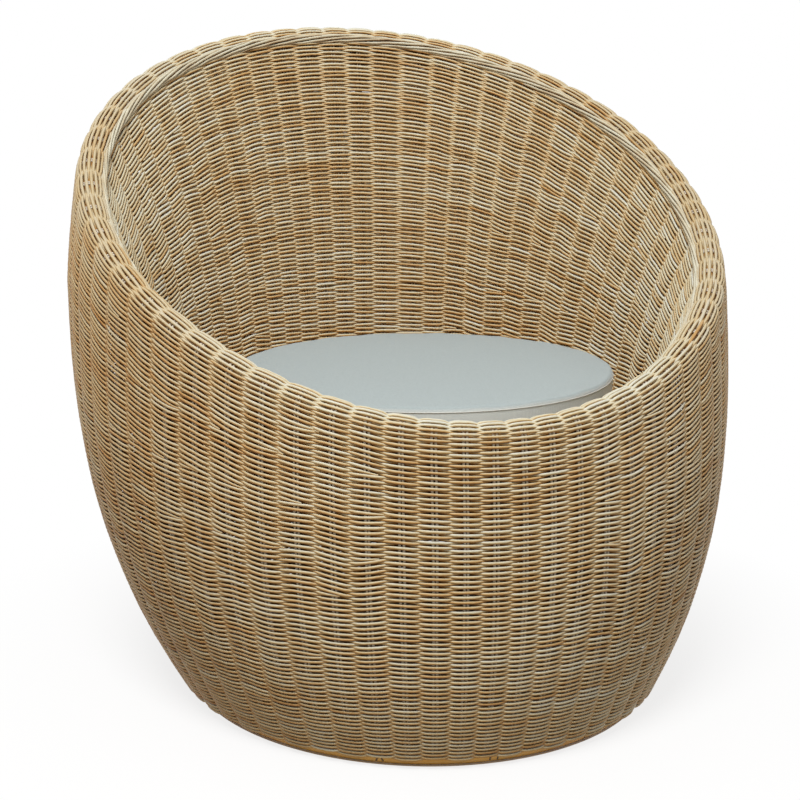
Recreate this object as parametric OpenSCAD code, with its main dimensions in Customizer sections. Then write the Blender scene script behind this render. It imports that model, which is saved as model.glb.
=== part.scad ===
// Round woven rattan tub chair with a loose seat cushion.
// A double-walled shell leans back over a round base; its rim rises from a low front to a high back.
// X is the sitter's left-right, the front faces -Y, Z is up. Units are millimetres.

/* [Shell] */
// Outer radius of the shell at the floor
base_r = 277; // [260:1:290]
// Outer radius of the shell at its widest place
belly_r = 394; // [380:1:410]
// Height of the widest place
belly_z = 454; // [430:1:480]
// How sharply the lower wall curves in to the base
lower_curve = 2.7; // [2.4:0.1:3]
// Outer radius of the shell at the top of the back
rim_back_r = 350; // [335:1:365]
// How sharply the upper wall curves in to the top of the back
upper_curve = 1.35; // [1.2:0.05:1.6]
// How far the top of the back lies behind the middle of the base
back_lean = 177; // [160:1:190]
// Lean of the wall at the floor, as a slope
foot_lean = 0.368; // [0.33:0.002:0.4]

/* [Rim] */
// Height of the rim pole's middle at the front
rim_front_z = 355; // [340:1:370]
// Height of the rim pole's middle at the sides
rim_side_z = 563; // [545:1:580]
// Height of the rim pole's middle at the back
rim_back_z = 728; // [710:1:745]
// Space between the rim pole and the weave that wraps it
rim_space = 2; // [1.5:0.1:3.5]
// Diameter of the rope border along the inner edge of the rim
border_d = 10; // [8:0.5:11]

/* [Weave] */
// Thickness of the woven sheets
weave_t = 6.5; // [5.5:0.1:7]
// Number of stake pairs round the outer wall
outer_stakes = 60; // [52:2:68]
// Number of stake pairs round the inner wall
inner_stakes = 60; // [52:2:68]
// How far the weave swells out over each stake pair
swell = 2.6; // [0.4:0.1:3]
// Height of the weave's lower edge above the floor
weave_foot_z = 10; // [8:0.5:14]

/* [Frame poles] */
// Diameter of the pole that the chair stands on
base_pole_d = 24; // [20:1:26]
// How much of the base pole is planed flat underneath
base_flat = 0.8; // [0.4:0.1:2]
// Diameter of the rim pole
rim_pole_d = 18; // [16:0.5:20]
// Diameter of the wall ribs
rib_d = 16; // [12:1:17]
// Diameter of the hoops that tie the ribs together
hoop_d = 16; // [12:1:20]
// Diameter of the seat hoop
seat_pole_d = 24; // [20:1:26]
// Diameter of the rails under the seat
rail_d = 20; // [16:1:22]
// Diameter of the legs under the seat
leg_d = 20; // [16:1:22]
// Diameter of the stays behind the back rest
stay_d = 14; // [10:1:15]
// Height of the lower hoop
lower_hoop_z = 140; // [110:1:170]
// Height of the middle hoop
middle_hoop_z = 270; // [240:1:285]
// How far the upper hoop lies below the rim at its two ends
upper_hoop_drop = 70; // [60:1:100]

/* [Seat] */
// Height of the top of the woven seat
seat_z = 285; // [275:1:292]
// Space between the seat's edge and the outside of the shell
seat_gap = 94; // [88:1:105]
// How far the seat sits forward of the middle of the shell at its height
seat_forward = 21; // [15:1:30]
// Thickness of the woven seat
deck_t = 6; // [5:0.5:8]
// Distance between the middles of the rails
rail_pitch = 72; // [60:1:80]
// Inward bow of the inner wall, as a share of its height
inner_bow = 0.038; // [0:0.002:0.06]

/* [Cushion] */
// Diameter of the seat cushion
cushion_d = 442; // [400:1:450]
// Height of the cushion at its edge
cushion_edge_t = 79; // [60:1:85]
// How much higher the cushion's middle is than its edge
cushion_crown = 4; // [2:0.5:12]
// How far the cushion's side swells between its two seams
cushion_swell = 3; // [2:0.5:8]
// Radius of the cushion's rounded edges
cushion_round = 6; // [4:0.5:16]
// Thickness of the cushion cover with its lining
cover_t = 2; // [1:0.5:4]
// Gap between the cushion and the inner wall at the front
cushion_front_gap = 9; // [5:1:20]

/* [Hidden] */
fit = 0.3;              // clearance between pieces that rest on each other
skin_fit = 0.5;         // clearance between the weave and the poles behind it
rib_count = 12;
rib_step = 360 / rib_count;
stay_spread = [15, 45, 75];
leg_spread = [37, 105, 143];
base_joints = [26, 138, 222];   // directions in which the base hoop's lengths meet
rail_count = 7;
stake_fan = 0.4;        // share of the lean that the stakes' own middle follows
first_stake = -68.85;   // where the count of the outer stakes starts, in degrees
crowding = [            // how the outer stakes crowd together, in degrees, wave by wave
    [-1.88, 3.61], [2.49, 1.54], [0.45, 0.27], [-0.78, -0.32]
];
inner_low = [           // sixtieths of the inner stakes and their directions, low on the wall
    [0, 94.6], [4, 117.8], [8, 141.5], [11, 160.5], [12, 169.8],
    [16, 194.1], [20, 216.2], [23, 231.9], [60, 454.6]
];
inner_high = [          // the same, high on the wall
    [0, 87.5], [4, 112.5], [8, 138.7], [11, 158.9], [12, 167.7],
    [16, 194.1], [20, 219.9], [23, 238.5], [60, 447.5]
];
roll_r = rim_pole_d / 2 + rim_space + weave_t;
roll_end = 145;         // angle round the rim at which the outer weave ends
border_rise = 3.5;      // height of the rope border's middle over the rim pole's middle
border_inset = 3;       // how far the rope border's middle lies inside the roll's face
base_pole_r = base_pole_d / 2;
rim_pole_r = rim_pole_d / 2;
rib_r = rib_d / 2;
hoop_r = hoop_d / 2;
seat_pole_r = seat_pole_d / 2;
rail_r = rail_d / 2;
leg_r = leg_d / 2;
stay_r = stay_d / 2;
round_fn = 48;
ring_fn = 96;

wall_levels = 9;        // rows of facets up the outer wall
level_bias = 1.25;      // rows lie closer together near the floor
roll_levels = 7;        // rows of facets over the roll
tuck_levels = 4;        // rows of facets round the roll's hidden face
inner_levels = 6;       // rows of facets up the inner wall
pole_sides = 8;
hoop_rings = 72;        // a whole number to each rib and stay
border_rings = 88;
border_sides = 6;

pole_colour = [0.80, 0.62, 0.36];
base_colour = [0.74, 0.50, 0.18];
weave_colour = [0.80, 0.68, 0.47];
border_colour = [0.84, 0.76, 0.58];
cushion_colour = [0.80, 0.80, 0.78];

// ---------- the shell's surface ----------

function shell_r(z) = z < belly_z
    ? belly_r - (belly_r - base_r) * pow((belly_z - z) / belly_z, lower_curve)
    : belly_r - (belly_r - rim_back_r) * pow((z - belly_z) / (rim_back_z - belly_z), upper_curve);

function lean(z) = foot_lean * z - (foot_lean * rim_back_z - back_lean) * pow(z / rim_back_z, 2);

// Angles are measured from the front, round the middle of the shell at each height.
function outward(a) = [sin(a), -cos(a), 0];
function along(a) = [cos(a), sin(a), 0];
function unit(v) = v / norm(v);

function face(a, z) = [shell_r(z) * sin(a), lean(z) - shell_r(z) * cos(a), z];
function face_rise(a, z) = unit(face(a, z + 1) - face(a, z - 1));
function face_normal(a, z) = let (n = cross(along(a), face_rise(a, z))) unit(n * (n * outward(a) > 0 ? 1 : -1));
function inside(a, z, depth) = face(a, z) - depth * face_normal(a, z);

// The stakes fan out from a middle of their own, which leans less than the shell.
function stake_angle(fan, z) = let (
    back = (1 - stake_fan) * lean(z),
    reach = sqrt(pow(shell_r(z), 2) - pow(back * sin(fan), 2)) - back * cos(fan)
) atan2(reach * sin(fan), reach * cos(fan) + back);

// ---------- the rim's line ----------

function rim_z(a) = (rim_front_z + rim_back_z) / 4 + rim_side_z / 2
    + (rim_front_z - rim_back_z) / 2 * cos(a)
    + ((rim_front_z + rim_back_z) / 4 - rim_side_z / 2) * cos(2 * a);

// Height of a level on the wall, counted up from the weave's lower edge.
function level_z(top_z, i) = weave_foot_z + (top_z - weave_foot_z) * pow(i / wall_levels, level_bias);

function fan_rim_z(fan, z = rim_side_z, turns = 9) = turns == 0
    ? z
    : fan_rim_z(fan, rim_z(stake_angle(fan, z)), turns - 1);

function rim_middle(a) = inside(a, rim_z(a), roll_r);
function rim_run(a) = unit(rim_middle(a + 1) - rim_middle(a - 1));
function rim_out(a) = let (n = face_normal(a, rim_z(a)), t = rim_run(a)) unit(n - (n * t) * t);
function rim_up(a) = cross(rim_out(a), rim_run(a)) * (cross(rim_out(a), rim_run(a))[2] > 0 ? 1 : -1);
function rim_point(a, radius, turn) =
    rim_middle(a) + radius * (cos(turn) * rim_out(a) + sin(turn) * rim_up(a));
function rim_slope(a) = abs(rim_run(a)[2]) / norm([rim_run(a)[0], rim_run(a)[1]]);

// ---------- the seat and the inner wall ----------

seat_r = shell_r(seat_z) - seat_gap;
seat_middle_y = lean(seat_z) - seat_forward;
deck_z = seat_z - deck_t;
inner_foot_z = deck_z;
seat_hoop_r = seat_r + weave_t;
seat_hoop_z = deck_z - fit - seat_pole_r;
inner_twist = 9;        // how far the inner stakes close up behind the sitter, in degrees

function seat_edge(a, radius, z) = [radius * sin(a), seat_middle_y - radius * cos(a), z];
function inner_foot(a) = seat_edge(a + inner_twist * sin(a), seat_r, inner_foot_z);
function inner_top(a) = rim_middle(a) - roll_r * rim_out(a)
    + (border_rise - border_d / 2 - fit) * rim_up(a);
function inner_chord(a) = inner_top(a) - inner_foot(a);
function inner_normal(a) = let (n = cross(along(a), unit(inner_chord(a)))) unit(n * (n * outward(a) > 0 ? 1 : -1));
function inner_face(a, share) = inner_foot(a) + share * inner_chord(a)
    - inner_bow * inner_chord(a)[2] * 4 * share * (1 - share) * outward(a);

// ---------- the model's middle, front to back ----------

back_reach = max([for (z = [0 : 4 : rim_back_z]) lean(z) + shell_r(z)]);
front_reach = min([for (z = [0 : 4 : rim_front_z]) lean(z) - shell_r(z)]);
middle_y = (back_reach + front_reach) / 2;

base_names = [for (i = [1 : len(base_joints)]) str("base_hoop_", i)];
rib_names = [for (i = [1 : rib_count]) str("wall_rib_", i)];
stay_names = [for (i = [1 : 2 * len(stay_spread)]) str("back_stay_", i)];
leg_names = [for (i = [1 : 2 * len(leg_spread)]) str("seat_leg_", i)];
rail_names = [for (i = [1 : rail_count]) str("seat_rail_", i)];

// ---------- building blocks ----------

module placed() {
    translate([0, -middle_y, 0]) children();
}

// A closed skin through rings of points. Each ring has the same number of points.
function ring_faces(rings, count, closed) = [
    for (i = [0 : rings - (closed ? 1 : 2)], j = [0 : count - 1])
        let (
            a = i * count + j,
            b = i * count + (j + 1) % count,
            c = ((i + 1) % rings) * count + (j + 1) % count,
            d = ((i + 1) % rings) * count + j
        )
        each [[a, c, b], [a, d, c]]
];

module loop_skin(rings) {
    count = len(rings[0]);
    polyhedron(points = [for (ring = rings) each ring], faces = ring_faces(len(rings), count, true));
}

module tube_skin(rings) {
    count = len(rings[0]);
    last = (len(rings) - 1) * count;
    polyhedron(
        points = [for (ring = rings) each ring],
        faces = concat(
            ring_faces(len(rings), count, false),
            [[for (j = [0 : count - 1]) j]],
            [[for (j = [count - 1 : -1 : 0]) last + j]]
        )
    );
}

// A straight round pole between two points.
module pole(from, to, radius) {
    run = to - from;
    translate(from)
        rotate([0, acos(run[2] / norm(run)), atan2(run[1], run[0])])
            cylinder(r = radius, h = norm(run), $fn = round_fn);
}

// A level round hoop, or an arc of one.
module hoop(middle_y, ring_r, z, radius) {
    translate([0, middle_y, z])
        rotate_extrude($fn = ring_fn)
            translate([ring_r, 0]) circle(r = radius, $fn = round_fn);
}

function wall_slope(a, z) = let (t = face_rise(a, z)) norm([t[0], t[1]]) / t[2];
function level_reach(a, z, depth) = shell_r(z) - depth * sqrt(1 + pow(wall_slope(a, z), 2));

// How far from a round pole's middle a smaller pole's square end must stop, so as to clear it.
function stop_at(way, run, pole_r, end_r) = let (t = abs(way * run))
    (pole_r + fit + end_r * t) / sqrt(1 - t * t);

// ---------- the frame ----------

base_ring_z = base_pole_r - base_flat;
base_ring_r = level_reach(0, base_ring_z, weave_t + skin_fit + base_pole_r) - lean(base_ring_z);

// The base hoop is bent in lengths that meet end to end.
module base_hoop(index) {
    ends = concat(base_joints, [base_joints[0] + 360]);
    gap = fit / base_ring_r * 90 / PI;
    color(base_colour) placed() intersection() {
        translate([0, 0, base_ring_z])
            rotate([0, 0, ends[index] + gap - 90])
                rotate_extrude(angle = ends[index + 1] - ends[index] - 2 * gap, $fn = ring_fn)
                    translate([base_ring_r, 0]) circle(r = base_pole_r, $fn = round_fn);
        cylinder(r = 2 * base_ring_r, h = 2 * base_pole_d, $fn = ring_fn);
    }
}

// A rib stands on the base hoop, follows the wall and ends under the rim pole.
rib_depth = weave_t + skin_fit + rib_r;

function rib_path(fan) = let (
    top_z = fan_rim_z(fan),
    top_a = stake_angle(fan, top_z),
    mid = [for (i = [1 : wall_levels - 1]) let (z = level_z(top_z, i))
        inside(stake_angle(fan, z), z, rib_depth)],
    stand = base_ring_r * outward(fan) + [0, 0, base_ring_z],
    hang = rim_middle(top_a),
    up = unit(mid[0] - stand),
    down = unit(mid[len(mid) - 1] - hang)
) concat(
    [stand + stop_at(up, along(fan), base_pole_r, rib_r) * up],
    mid,
    [hang + stop_at(down, rim_run(top_a), rim_pole_r, rib_r) * down]
);

rib_paths = [for (i = [0 : rib_count - 1]) rib_path(i * rib_step)];

function path_run(path, i) = unit(path[min(i + 1, len(path) - 1)] - path[max(i - 1, 0)]);

// Radius that a level hoop may have inside the ribs it crosses, each of them straight near it.
function path_step(path, z) = max([for (i = [0 : len(path) - 2]) if (path[i][2] <= z) i]);
function rib_reach(path, middle_y, z) = let (
    i = path_step(path, z),
    run = path[i + 1] - path[i],
    crossing = path[i] + run * (z - path[i][2]) / run[2] - [0, middle_y, z],
    slope = crossing * run / norm(crossing) / run[2]
) norm(crossing) - (rib_r + fit + hoop_r) * sqrt(1 + slope * slope);

function tie_y(z) = lean(z) + (level_reach(180, z, rib_depth) - level_reach(0, z, rib_depth)) / 2;
function tie_r(z, paths) = min([for (path = paths) rib_reach(path, tie_y(z), z)]);

module lower_hoop() {
    color(pole_colour) placed()
        hoop(tie_y(lower_hoop_z), tie_r(lower_hoop_z, rib_paths), lower_hoop_z, hoop_r);
}

module middle_hoop() {
    color(pole_colour) placed()
        hoop(tie_y(middle_hoop_z), tie_r(middle_hoop_z, rib_paths), middle_hoop_z, hoop_r);
}

// The upper hoop runs round the back from one side rib to the other.
side_rib = rib_count / 4;
upper_hoop_z = fan_rim_z(side_rib * rib_step) - upper_hoop_drop;
upper_paths = [for (i = [side_rib : rib_count - side_rib]) rib_paths[i]];
upper_open = stake_angle(side_rib * rib_step, upper_hoop_z) - 2;

module upper_hoop() {
    color(pole_colour) placed()
        translate([0, tie_y(upper_hoop_z), upper_hoop_z])
            rotate([0, 0, upper_open - 90])
                rotate_extrude(angle = 360 - 2 * upper_open, $fn = ring_fn)
                    translate([tie_r(upper_hoop_z, upper_paths), 0]) circle(r = hoop_r, $fn = round_fn);
}

module rim_hoop() {
    color(pole_colour) placed() loop_skin([
        for (i = [0 : hoop_rings - 1])
            let (fan = 360 * i / hoop_rings, a = stake_angle(fan, fan_rim_z(fan)))
            [for (j = [0 : pole_sides - 1]) rim_point(a, rim_pole_r, -360 * j / pole_sides)]
    ]);
}

module seat_hoop() {
    color(pole_colour) placed() hoop(seat_middle_y, seat_hoop_r, seat_hoop_z, seat_pole_r);
}

module wall_rib(index) {
    path = rib_paths[index];
    color(pole_colour) placed() tube_skin([
        for (i = [0 : len(path) - 1]) let (
            run = path_run(path, i),
            side = unit(cross(run, outward(index * rib_step))),
            deep = cross(run, side)
        )
        [for (j = [0 : pole_sides - 1]) let (t = 360 * j / pole_sides)
            path[i] + rib_r * (cos(t) * side + sin(t) * deep)]
    ]);
}

stay_shift = 3.5;       // how far a stay's head lies outside the middle of the rim pole

// A stay stands on the seat hoop behind the inner wall and ends under the rim pole.
module back_stay(fan) {
    top_a = stake_angle(fan, fan_rim_z(fan));
    foot = seat_edge(top_a + inner_twist * sin(top_a), seat_r + weave_t + skin_fit + stay_r, seat_hoop_z);
    hang = rim_middle(top_a) + stay_shift * rim_out(top_a);
    down = unit(foot - hang);
    stop = stop_at(down, rim_run(top_a), rim_pole_r, stay_r) + stay_shift * abs(down * rim_out(top_a));
    color(pole_colour) placed() difference() {
        pole(foot, hang + stop * down, stay_r);
        hoop(seat_middle_y, seat_hoop_r, seat_hoop_z, seat_pole_r + fit);
    }
}

module seat_leg(fan) {
    color(pole_colour) placed() difference() {
        pole(base_ring_r * outward(fan) + [0, 0, base_ring_z],
             seat_edge(fan, seat_hoop_r, seat_hoop_z), leg_r);
        hoop(0, base_ring_r, base_ring_z, base_pole_r + fit);
        hoop(seat_middle_y, seat_hoop_r, seat_hoop_z, seat_pole_r + fit);
    }
}

module seat_rail(index) {
    x = rail_pitch * (index - (rail_count - 1) / 2);
    half = sqrt(pow(seat_hoop_r, 2) - x * x);
    z = deck_z - fit - rail_r;
    color(pole_colour) placed() difference() {
        pole([x, seat_middle_y - half, z], [x, seat_middle_y + half, z], rail_r);
        hoop(seat_middle_y, seat_hoop_r, seat_hoop_z, seat_pole_r + fit);
    }
}

// ---------- the woven skins ----------

module seat_weave() {
    color(weave_colour) placed()
        translate([0, seat_middle_y, deck_z])
            cylinder(r = seat_r - fit, h = deck_t, $fn = ring_fn);
}

function ripple(i) = swell * (i % 2 == 0 ? 0.5 : -0.5) - swell / 2;

// Direction of a place among the outer stakes, which is given as an angle with even steps.
function outer_turn(even) = first_stake + even
    + [for (k = [0 : 3]) crowding[k] * [cos((k + 1) * even), sin((k + 1) * even)]] * [1, 1, 1, 1];

// The same for the inner stakes, at a share of the wall's height.
function inner_turn(even, share) = let (
    low = lookup(even / 6, inner_low),
    high = lookup(even / 6, inner_high)
) low + (high - low) * (share - 0.17) / 0.76;

// One upright section of the outer weave: up the wall, over the roll and back down inside it.
function outer_section(fan, bulge) = let (
    top_z = fan_rim_z(fan),
    top_a = stake_angle(fan, top_z)
) concat(
    [for (i = [0 : wall_levels - 1]) let (z = level_z(top_z, i))
        inside(stake_angle(fan, z), z, -bulge)],
    [for (i = [0 : roll_levels]) rim_point(top_a, roll_r + bulge, roll_end * i / roll_levels)],
    [for (i = [tuck_levels : -1 : 0]) rim_point(top_a, roll_r - weave_t, roll_end * i / tuck_levels)],
    [for (i = [wall_levels - 1 : -1 : 0]) let (z = level_z(top_z, i))
        inside(stake_angle(fan, z), z, weave_t)]
);

module outer_weave() {
    count = 2 * outer_stakes;
    color(weave_colour) placed() loop_skin([
        for (i = [0 : count - 1]) outer_section(outer_turn(-360 * i / count), ripple(i))
    ]);
}

// The inner wall's foot is cut level, so that it stands on the seat hoop.
function inner_point(a, i, depth) = inner_face(a, i / inner_levels)
    + depth * (i == 0 ? outward(a) / (outward(a) * inner_normal(a)) : inner_normal(a));

function inner_section(even, bulge) = concat(
    [for (i = [0 : inner_levels]) inner_point(inner_turn(even, i / inner_levels), i, bulge)],
    [for (i = [inner_levels : -1 : 0]) inner_point(inner_turn(even, i / inner_levels), i, weave_t)]
);

module inner_weave() {
    count = 2 * inner_stakes;
    color(weave_colour) placed() loop_skin([
        for (i = [0 : count - 1]) inner_section(360 * i / count, -ripple(i))
    ]);
}

module rim_border() {
    color(border_colour) placed() loop_skin([
        for (i = [0 : border_rings - 1]) let (
            a = 360 * i / border_rings,
            middle = rim_middle(a) - (roll_r - border_inset) * rim_out(a) + border_rise * rim_up(a)
        )
        [for (j = [0 : border_sides - 1]) let (t = -360 * j / border_sides)
            middle + border_d / 2 * (cos(t) * rim_out(a) + sin(t) * rim_up(a))]
    ]);
}

// ---------- the cushion ----------

cushion_r = cushion_d / 2;
cushion_y = seat_middle_y - seat_r + cushion_front_gap + cushion_r;
crown_steps = 10;
edge_steps = 5;

// Half of the cushion's upright section, drawn in by inset all round.
function cushion_section(inset) = let (
    seam_r = cushion_r - cushion_swell,
    turn_r = seam_r - cushion_round,
    low = cushion_round,
    high = cushion_edge_t - cushion_round
) concat(
    [[0, inset]],
    [for (i = [0 : edge_steps]) let (t = -90 + 90 * i / edge_steps)
        [turn_r + (cushion_round - inset) * cos(t), low + (cushion_round - inset) * sin(t)]],
    [for (i = [1 : edge_steps]) let (s = i / (edge_steps + 1))
        [seam_r - inset + cushion_swell * sin(180 * s), low + (high - low) * s]],
    [for (i = [0 : edge_steps]) let (t = 90 * i / edge_steps)
        [turn_r + (cushion_round - inset) * cos(t), high + (cushion_round - inset) * sin(t)]],
    [for (i = [1 : crown_steps]) let (s = i / crown_steps)
        [turn_r * (1 - s), cushion_edge_t - inset + cushion_crown * (1 - pow(1 - s, 2))]]
);

module cushion_solid(inset) {
    translate([0, cushion_y, seat_z + fit])
        rotate_extrude($fn = ring_fn) polygon(cushion_section(inset));
}

module cushion_cover() {
    color(cushion_colour) placed() difference() {
        cushion_solid(0);
        cushion_solid(cover_t);
    }
}

module cushion_foam() {
    color("white") placed() cushion_solid(cover_t + fit);
}

// ---------- the chair ----------

for (i = [0 : len(base_joints) - 1])
    base_hoop(i);
lower_hoop();
middle_hoop();
upper_hoop();
rim_hoop();
seat_hoop();
for (i = [0 : rib_count - 1])
    wall_rib(i);
for (i = [0 : len(stay_spread) - 1]) {
    back_stay(180 - stay_spread[i]);
    back_stay(180 + stay_spread[i]);
}
for (i = [0 : len(leg_spread) - 1]) {
    seat_leg(leg_spread[i]);
    seat_leg(-leg_spread[i]);
}
for (i = [0 : rail_count - 1])
    seat_rail(i);
seat_weave();
inner_weave();
outer_weave();
rim_border();
cushion_foam();
cushion_cover();
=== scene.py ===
"""A round tub chair of woven rattan with a loose seat cushion.

Shapes are worked out in mm and go into the meshes in metres. Directions round the chair are angles
from the front (-Y) towards the right (+X). Every point has MID_Y taken off its y, which centres the
chair's depth on the frame's origin."""
import math

import bmesh
import bpy
import numpy as np
from mathutils import Matrix, Vector


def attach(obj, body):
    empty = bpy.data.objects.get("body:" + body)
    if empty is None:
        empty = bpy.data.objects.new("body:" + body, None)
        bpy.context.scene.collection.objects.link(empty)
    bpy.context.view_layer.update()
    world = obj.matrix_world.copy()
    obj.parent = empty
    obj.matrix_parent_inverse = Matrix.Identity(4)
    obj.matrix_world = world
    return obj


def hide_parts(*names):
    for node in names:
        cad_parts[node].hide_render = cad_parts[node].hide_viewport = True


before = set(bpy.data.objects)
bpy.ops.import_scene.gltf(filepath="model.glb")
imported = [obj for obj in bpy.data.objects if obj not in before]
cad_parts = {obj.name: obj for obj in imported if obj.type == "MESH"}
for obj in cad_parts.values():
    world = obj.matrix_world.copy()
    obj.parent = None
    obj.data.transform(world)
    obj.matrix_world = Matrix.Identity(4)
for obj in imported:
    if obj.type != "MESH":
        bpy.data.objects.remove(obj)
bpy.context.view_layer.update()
TAU = 2 * math.pi
UP = np.array([0, 0, 1.0])

# ---------------------------------------------------------------- the chair's surfaces, in mm
BASE_R, BELLY_R, BELLY_Z, LOWER = 277.0, 394.0, 454.0, 2.7      # the shell below the belly
BACK_R, BACK_Z, UPPER = 350.0, 728.0, 1.35                      # the shell above it
BACK_LEAN, FOOT_LEAN = 177.0, 0.368     # how far the shell leans back at BACK_Z, its slope at 0
FRONT_Z, SIDE_Z = 355.0, 563.0          # heights of the rim; at the back it is BACK_Z
FIRST_Z = 540.0                         # first guess for a stake's top
ROLL_R, ROLL_END = 17.5, math.radians(148)
RISE, BORDER_R, INSET = 3.5, 5.0, 3.0   # place of the rope border on the roll
FAN, FOOT_Z = 0.4, 10.0                 # how far the stakes fan out, and where they start
SEAT_Z, SEAT_IN, SEAT_FORWARD = 285.0, 94, 21
TWIST, BOW = math.radians(9), 0.038     # of the inner wall
FOOT_LIFT, HEAD_LIFT = 0.5, 1.5         # of the inner wall's two edges
STAKES = 60
NU = 512                                # directions in which the sheets are worked out
fans = np.arange(NU) / NU * TAU


def shell_r(z):
    low = BELLY_R - (BELLY_R - BASE_R) * np.clip((BELLY_Z - z) / BELLY_Z, 0, None) ** LOWER
    above = np.clip((z - BELLY_Z) / (BACK_Z - BELLY_Z), 0, None)
    return np.where(z < BELLY_Z, low, BELLY_R - (BELLY_R - BACK_R) * above ** UPPER)


def lean(z):
    return FOOT_LEAN * z - (FOOT_LEAN * BACK_Z - BACK_LEAN) * (z / BACK_Z) ** 2


def middle_y():
    """Middle between the furthest points of the shell at the back and at the front."""
    back, front = np.arange(0, BACK_Z + 1, 4.0), np.arange(0, FRONT_Z + 1, 4.0)
    return ((lean(back) + shell_r(back)).max() + (lean(front) - shell_r(front)).min()) / 2


MID_Y = middle_y()
SEAT_R = float(shell_r(np.array(SEAT_Z))) - SEAT_IN
SEAT_Y = float(lean(SEAT_Z)) - SEAT_FORWARD


def rim_z(a):
    f, s, b = FRONT_Z, SIDE_Z, BACK_Z
    return (f + b) / 4 + s / 2 + (f - b) / 2 * np.cos(a) + ((f + b) / 4 - s / 2) * np.cos(2 * a)


def unit(v):
    return v / np.linalg.norm(v, axis=-1, keepdims=True)


def stack(x, y, z):
    x, y, z = np.broadcast_arrays(x, y, z)
    return np.stack([x, y, z], -1)


def outward(a):
    return stack(np.sin(a), -np.cos(a), 0.0)


def along(a):
    return stack(np.cos(a), np.sin(a), 0.0)


def face(a, z):
    return stack(shell_r(z) * np.sin(a), lean(z) - shell_r(z) * np.cos(a), z)


def face_normal(a, z):
    n = unit(np.cross(along(a), face(a, z + 1) - face(a, z - 1)))
    return n * np.sign((n * outward(a)).sum(-1, keepdims=True))


def stake_angle(fan, z):
    """Direction at height z of a stake that stands in the direction fan at the foot."""
    c = (1 - FAN) * lean(z)
    reach = np.sqrt(shell_r(z) ** 2 - (c * np.sin(fan)) ** 2) - c * np.cos(fan)
    return np.arctan2(reach * np.sin(fan), reach * np.cos(fan) + c)


def fan_top(fan):
    """Height and direction at which the stakes reach the rim."""
    z = np.full_like(fan, FIRST_Z)
    for _ in range(12):
        z = rim_z(stake_angle(fan, z))
    return z, stake_angle(fan, z)


def rim_frame(a, step=0.017):
    """Middle of the roll, and the outward and upward directions across it."""
    def middle(t):
        return face(t, rim_z(t)) - ROLL_R * face_normal(t, rim_z(t))
    run = unit(middle(a + step) - middle(a - step))
    n = face_normal(a, rim_z(a))
    out = unit(n - (n * run).sum(-1, keepdims=True) * run)
    up = np.cross(out, run)
    return middle(a), out, up * np.sign(up[..., 2:3])


def even(points, count):
    """Points (fan, step, xyz) respaced evenly along each section, with the sections' lengths."""
    d = np.linalg.norm(np.diff(points, axis=1), axis=2)
    s = np.concatenate([np.zeros((len(points), 1)), np.cumsum(d, 1)], 1)
    out = np.empty((len(points), count, 3))
    for i in range(len(points)):
        t = np.linspace(0, s[i, -1], count)
        for k in range(3):
            out[i, :, k] = np.interp(t, s[i], points[i, :, k])
    return out, s[:, -1]


class Sheet:
    """A surface that closes round the chair: u goes round in radians, t from 0 to 1 across.
    points: (direction, step, xyz), where each direction's section gets count steps of even
    length; facing: -1 or 1, the y side that the surface faces at the front."""

    def __init__(self, points, count, facing):
        self.p, self.length = even(points, count)
        round_way = np.roll(self.p, -1, 0) - np.roll(self.p, 1, 0)
        n = unit(np.cross(round_way, np.gradient(self.p, axis=1)))
        self.n = n * np.sign(facing * n[0, count // 6, 1])

    def at(self, u, t):
        """The points and the normals there."""
        nu, nt = self.p.shape[:2]
        x = (u / TAU * nu) % nu
        y = np.clip(t, 0, 1) * (nt - 1)
        i = np.floor(x).astype(int) % nu
        j = np.clip(np.floor(y).astype(int), 0, nt - 2)
        fx, fy = (x - np.floor(x))[..., None], (y - j)[..., None]
        i2 = (i + 1) % nu

        def mix(a):
            return ((a[i, j] * (1 - fx) + a[i2, j] * fx) * (1 - fy)
                    + (a[i, j + 1] * (1 - fx) + a[i2, j + 1] * fx) * fy)
        return mix(self.p), unit(mix(self.n))


def outer_sheet():
    """From the foot up the wall and over the roll."""
    top_z, top_a = fan_top(fans)
    mid, out, up = rim_frame(top_a)
    rows = []
    for s in np.linspace(0, 1, 80)[:-1]:
        z = FOOT_Z + (top_z - FOOT_Z) * s
        rows.append(face(stake_angle(fans, z), z))
    for t in np.linspace(0, ROLL_END, 30):
        rows.append(mid + ROLL_R * (math.cos(t) * out + math.sin(t) * up))
    return Sheet(np.stack(rows, 1), 300, -1)


def inner_sheet():
    """From the edge of the seat up to the border."""
    turn = fans + TWIST * np.sin(fans)
    foot = stack(SEAT_R * np.sin(turn), SEAT_Y - SEAT_R * np.cos(turn), SEAT_Z + FOOT_LIFT)
    mid, out, up = rim_frame(fans)
    chord = mid - ROLL_R * out + (RISE - BORDER_R + HEAD_LIFT) * up - foot
    rows = [foot + s * chord - (BOW * chord[:, 2:3] * 4 * s * (1 - s)) * outward(fans)
            for s in np.linspace(0, 1, 60)]
    return Sheet(np.stack(rows, 1), 200, 1)


OUTER, INNER = outer_sheet(), inner_sheet()

# The outer stakes stand closer at the front and at the back: k turns, degrees of cos, of sin.
OUTER_SHIFT = ((1, -1.88, 3.61), (2, 2.49, 1.54), (3, 0.45, 0.27), (4, -0.78, -0.32))
OUTER_START = 68.85                     # degrees from stake 0 to the front
# The inner stakes close up towards the seat, with one wide step: directions of some, in degrees.
INNER_AT = [0, 4, 8, 11, 12, 16, 20, 23, 60]
INNER_LOW = [94.6, 117.8, 141.5, 160.5, 169.8, 194.1, 216.2, 231.9, 454.6]
INNER_TOP = [87.5, 112.5, 138.7, 158.9, 167.7, 194.1, 219.9, 238.5, 447.5]
LOW_T, TOP_T = 0.17, 0.93               # where on the inner wall those hold


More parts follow.
